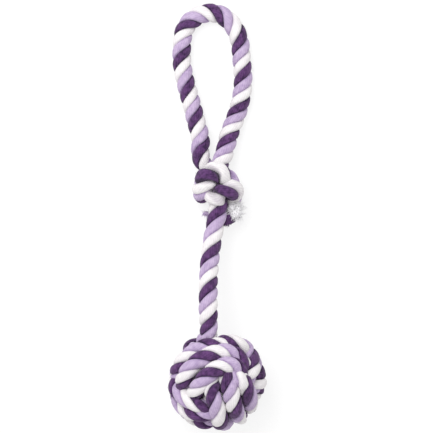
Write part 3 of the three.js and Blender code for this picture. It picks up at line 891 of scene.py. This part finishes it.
# %% Putting the knot's strands on the knot
bends = {
    "ball": ("ball", "shank_lower", "ball_nod"),
    "shank_lower": ("shank_lower", "shank_middle", "shank_bend_lower"),
    "shank_middle": ("shank_middle", "shank_upper", "shank_bend_upper"),
    "shank_upper": ("shank_upper", "knot", "knot_nod"),
}


def tie(piece, stretch):
    """Puts a piece of the knot on the knot's body, and bakes any other piece where it lies."""
    if stretch == "knot":
        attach(piece, "knot")
    elif stretch == "hand_loop":
        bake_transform(piece)
    else:
        below, above, hinge = bends[stretch]
        middle, way = hinges[hinge], tangents[row_near(hinges[hinge])]
        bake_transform(piece)


stands_for = {
    "ball": ["ball_winding"],
    "shank_lower": ["shank_lower"],
    "shank_middle": ["shank_middle"],
    "shank_upper": ["shank_upper", "knot_standing_part"],
    "hand_loop": ["handle_loop"],
    "knot": ["knot_wrap"],
}
for (stretch, colour), piece in strands.items():
    tie(piece, stretch)
    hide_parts(*stands_for[stretch])
print("tied:", len(strands), "strands")

# %% [markdown]
# ## The hand loop
# Between its two roots the hand loop is a free length of rope, held at neither side. Here the rows
# of the rope that it spans are picked out.

# %% The hand loop's rows
loop_rows = slice(hand_row, end_row + 1)

# %% [markdown]
# ## The core
# The photo doesn't show how the ball is started. Such a ball is usually woven round the rope's own
# end, wound up small, so three thin strands wind round a hidden spiral in its middle.

# %% The core
core_rope_d = 7.5
core_winds = 3
core_lay = 2 * core_rope_d
core_yarns = 8
rows_per_wind = 12
pole_share = 0.12


def core_way():
    """A spiral up a small sphere, from near one pole to near the other."""
    reach = (ball_core_d - core_rope_d) / 2
    rows = []
    for share in np.linspace(0, 1, core_winds * rows_per_wind + 1):
        climb = math.pi * (pole_share + (1 - 2 * pole_share) * share)
        turn = 2 * math.pi * core_winds * share
        across, up = math.sin(climb), -math.cos(climb)
        place = np.array((math.cos(turn) * across, math.sin(turn) * across, up))
        rows.append([*(ball_at + reach * place), core_rope_d / 2])
    return smooth_way(rows, rope_step)


core_rows = core_way()
core_lengths = lengths_along(core_rows)
for colour, turn in strand_turns.items():
    angle = 2 * math.pi * (core_lengths / core_lay + turn)
    core = strand_piece(f"core_{colour}", colour, core_rows, carried_directions(core_rows), angle,
                        core_lengths, Yarns=core_yarns)
    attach(core, "ball")
    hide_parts("ball_core")
print(f"core: {core_lengths[-1]:.0f} mm of thin rope")

# %% [markdown]
# ## The cut end
# Below the knot the rope's end is cut and its strands part. The white one has opened into a fluffy
# tuft, the purple one is a blunt bundle, and the lilac one slips under the shank and peeps out on
# its other side. Each is first laid as a thick yarn-covered tube, and then grows loose fibres.

# %% The parted strands
# rows of x, y, z and radius in mm, from the rope's end outwards
tails = {
    "white": [(12.6, 9.4, 12.4, 3.2), (13.4, 5.8, 13.6, 4.6), (13.8, 2.0, 14.2, 4.9),
              (13.8, -0.6, 13.8, 3.7), (13.7, -2.0, 13.4, 1.8)],
    "purple": [(9.8, 8.0, 10.6, 3.2), (8.0, 3.2, 12.4, 3.6), (8.0, -0.6, 13.6, 4.1),
               (8.9, -3.9, 14.2, 4.4), (9.6, -6.2, 14.2, 4.3)],
    "lilac": [(10.6, 8.0, 8.6, 2.2), (6.4, 3.4, 5.6, 2.2), (0.4, 1.8, 5.2, 2.2),
              (-5.2, 1.0, 6.2, 2.0), (-7.6, 1.1, 7.4, 1.5), (-9.3, 0.4, 8.0, 0.6)],
}
tail_yarns = {"Oval Middle": 0.0, "Oval Depth": 1.0, "Oval Width": 1.0, "Yarns": 11,
              "Yarn Height": 0.1, "Lump Height": 0.5, "Lumps per Metre": 260.0}
# the white tuft takes the cotton that is painted lighter against its fibres' own shade
tail_cottons = {"white": "teased_painted_lighter", "purple": "purple", "lilac": "lilac"}
tail_pieces = {}
for colour, rows in tails.items():
    way = smooth_way(rows, rope_step / 2)
    frames = carried_directions(way)
    tail_pieces[colour] = strand_piece(f"cut_end_{colour}", tail_cottons[colour], way, frames,
                                       np.zeros(len(way)), lengths_along(way), **tail_yarns)
    # crest at one everywhere: the parted strands get no painted side shade
    crest = tail_pieces[colour].data.attributes["crest"].data
    crest.foreach_set("value", np.ones(len(crest)))
print("cut end:", len(tail_pieces), "parted strands")

# %% [markdown]
# ## Loose fibres
# Cotton sheds fine curly fibres. A second node tree scatters points over a strand's outer side,
# stands a straight line on each, bends it by a noise that grows towards its tip, and gives it a
# closed, tapering skin. Long and dense it is a frayed tuft, short and sparse it is the soft fuzz
# that keeps the rope from looking like plastic.

# %% The fibres' node tree
def fibre_tree():
    tree, given = new_tree("loose fibres", {
        "Fibres per Square Metre": 100000.0, "Least Crest": -2.0, "Lengths off the Floor": 2.0,
        "Length": 0.002, "Spread": 0.5, "Thickness": 0.00008, "Taper": 0.8, "Points per Fibre": 4,
        "Lean": 0.8, "Curl": 0.8, "Curl Gain": 4.0, "Curl Power": 1.5, "Curls per Metre": 400.0,
        "Seed": 7})

    outer = sums(tree, "GREATER_THAN", attribute(tree, "crest"), given["Least Crest"])
    place = add(tree, "GeometryNodeInputPosition").outputs[0]
    height = add(tree, "ShaderNodeSeparateXYZ", [place]).outputs["Z"]
    lowest = sums(tree, "MULTIPLY", given["Length"], given["Lengths off the Floor"])
    outer = sums(tree, "MULTIPLY", outer, sums(tree, "GREATER_THAN", height, lowest))
    roots = add(tree, "GeometryNodeDistributePointsOnFaces", {
        "Mesh": given["Geometry"], "Selection": outer,
        "Density": given["Fibres per Square Metre"], "Seed": given["Seed"]}).outputs
    lean = add(tree, "FunctionNodeRandomValue", {
        0: (-1, -1, -1), 1: (1, 1, 1), "Seed": given["Seed"]}, data_type="FLOAT_VECTOR").outputs[0]
    way = vectors(tree, "ADD", roots["Normal"], vectors(tree, "SCALE", lean, scale=given["Lean"]))
    turn = add(tree, "FunctionNodeAlignRotationToVector", {"Vector": way}, axis="Z").outputs[0]
    shortest = sums(tree, "SUBTRACT", 1.0, given["Spread"])
    size = add(tree, "FunctionNodeRandomValue", {2: shortest, 3: 1.0, "Seed": given["Seed"]},
               data_type="FLOAT").outputs[1]
    line = add(tree, "GeometryNodeCurvePrimitiveLine", {"End": (0, 0, 1)}).outputs["Curve"]
    line = add(tree, "GeometryNodeResampleCurve", {
        "Curve": line, "Count": given["Points per Fibre"]})
    height = add(tree, "GeometryNodeSplineParameter").outputs["Factor"]
    line = store(tree, line.outputs["Curve"], "height", height)
    fibres = add(tree, "GeometryNodeInstanceOnPoints", {
        "Points": roots["Points"], "Instance": line, "Rotation": turn,
        "Scale": sums(tree, "MULTIPLY", size, given["Length"])}).outputs["Instances"]
    fibres = add(tree, "GeometryNodeRealizeInstances", [fibres]).outputs["Geometry"]

    height = attribute(tree, "height")
    noise = add(tree, "ShaderNodeTexNoise", {"Scale": given["Curls per Metre"], "Detail": 0.0})
    bend = vectors(tree, "SUBTRACT", noise.outputs["Color"], (0.5, 0.5, 0.5))
    reach = sums(tree, "POWER", height, given["Curl Power"])
    reach = sums(tree, "MULTIPLY", sums(tree, "MULTIPLY", given["Curl"], given["Length"]),
                 sums(tree, "MULTIPLY", reach, given["Curl Gain"]))
    bend = vectors(tree, "SCALE", bend, scale=reach)
    fibres = add(tree, "GeometryNodeSetPosition", {"Geometry": fibres, "Offset": bend})
    fibres = fibres.outputs["Geometry"]
    thinner = sums(tree, "MULTIPLY", height, given["Taper"])
    thickness = sums(tree, "MULTIPLY", given["Thickness"], sums(tree, "SUBTRACT", 1.0, thinner))
    ring = add(tree, "GeometryNodeCurvePrimitiveCircle", {"Resolution": 3, "Radius": 1.0})
    skin = add(tree, "GeometryNodeCurveToMesh", {
        "Curve": fibres, "Profile Curve": ring.outputs["Curve"], "Scale": thickness,
        "Fill Caps": True}).outputs["Mesh"]
    # crest and yarn at one: the fibres get none of the painted shade
    for label in ("crest", "yarn"):
        skin = store(tree, skin, label, 1.0)
    return finish_tree(tree, skin, given["Material"])


loose_fibres = fibre_tree()
print("fibre tree:", len(loose_fibres.nodes), "nodes")

# %% Growing fibres
fuzz = {"Fibres per Square Metre": 90000.0, "Least Crest": 0.1, "Length": 0.0016,
        "Thickness": 0.00004}
frays = {
    "white": {"Fibres per Square Metre": 1200000.0, "Length": 0.0028, "Thickness": 0.00025,
              "Points per Fibre": 8, "Lean": 1.5, "Curl": 1.2, "Curls per Metre": 500.0},
    "purple": {"Fibres per Square Metre": 1000000.0, "Length": 0.0017, "Thickness": 0.00022,
               "Points per Fibre": 6},
    "lilac": {"Fibres per Square Metre": 1000000.0, "Length": 0.0020, "Thickness": 0.0002,
              "Points per Fibre": 6},
}


def grow_fibres(name, colour, piece, sizes):
    return through_tree(name, piece.data.copy(), loose_fibres, cottons[colour], sizes)


for colour, piece in tail_pieces.items():
    fray = grow_fibres(f"frayed_{colour}", tail_cottons[colour], piece, frays[colour])
    for part in (piece, fray):
        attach(part, "knot")
        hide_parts(f"tail_{colour}")
    print(f"frayed {colour}: {len(fray.data.polygons)} faces")

fuzz_pieces = {}
for (stretch, colour), piece in strands.items():
    fuzz_pieces[stretch, colour] = grow_fibres(f"fuzz_{stretch}_{colour}", colour, piece, fuzz)
    tie(fuzz_pieces[stretch, colour], stretch)
print("fuzz:", sum(len(piece.data.polygons) for piece in fuzz_pieces.values()), "faces")

# %% [markdown]
# ## The floor and the light
# The photo is a cut-out on white, with soft, even light and no hard shadow. So the floor glows
# white to the camera and keeps only the toy's faint shadow, while the light that it sends back onto
# the toy is that of pale card. One broad lamp at the upper left is a little stronger than the room.

# %% The floor
shadow_grey = 0.25
floor_glow = 0.77
card_grey = 0.8
floor_side = 3  # metres


def floor_finish():
    """White to the camera but for the toy's soft shadow, and pale to the light it sends back."""
    material = bpy.data.materials.new("pale floor")
    material.use_nodes = True
    tree = material.node_tree
    tree.nodes.remove(tree.nodes["Principled BSDF"])
    seen = add(tree, "ShaderNodeLightPath").outputs
    direct = sums(tree, "MAXIMUM", seen["Is Camera Ray"],
                  sums(tree, "MAXIMUM", seen["Is Glossy Ray"], seen["Is Transmission Ray"]))
    faint = add(tree, "ShaderNodeBsdfDiffuse", {"Color": (*[shadow_grey] * 3, 1)}).outputs[0]
    glow = add(tree, "ShaderNodeEmission", {"Strength": floor_glow}).outputs[0]
    shown = add(tree, "ShaderNodeAddShader", [faint, glow]).outputs[0]
    pale = add(tree, "ShaderNodeBsdfDiffuse", {"Color": (*[card_grey] * 3, 1)}).outputs[0]
    both = add(tree, "ShaderNodeMixShader", [direct, pale, shown]).outputs[0]
    tree.links.new(both, tree.nodes["Material Output"].inputs["Surface"])
    return material


floor = bpy.data.objects.new("floor", bpy.data.meshes.new("floor"))
half = floor_side / 2
corners = [(-half, -half, 0), (half, -half, 0), (half, half, 0), (-half, half, 0)]
floor.data.from_pydata(corners, [], [(0, 1, 2, 3)])
floor.data.materials.append(floor_finish())
bpy.context.collection.objects.link(floor)
print("floor:", floor_side, "m square")

# %% Light
room_strength = 0.75
world = bpy.data.worlds.new("soft room")
bpy.context.scene.world = world
world.use_nodes = True
world.node_tree.nodes["Background"].inputs["Color"].default_value = (1, 1, 1, 1)
world.node_tree.nodes["Background"].inputs["Strength"].default_value = room_strength
bpy.context.scene.view_settings.view_transform = "Standard"

key = bpy.data.objects.new("key", bpy.data.lights.new("key", "AREA"))
key.data.size = 0.7
key.data.energy = 9
key.location = (-0.35, 0.45, 1.1)
key.rotation_euler = (Vector((0, 0, 0)) - key.location).to_track_quat("-Z", "Y").to_euler()
bpy.context.collection.objects.link(key)
print("light: a room and one lamp")
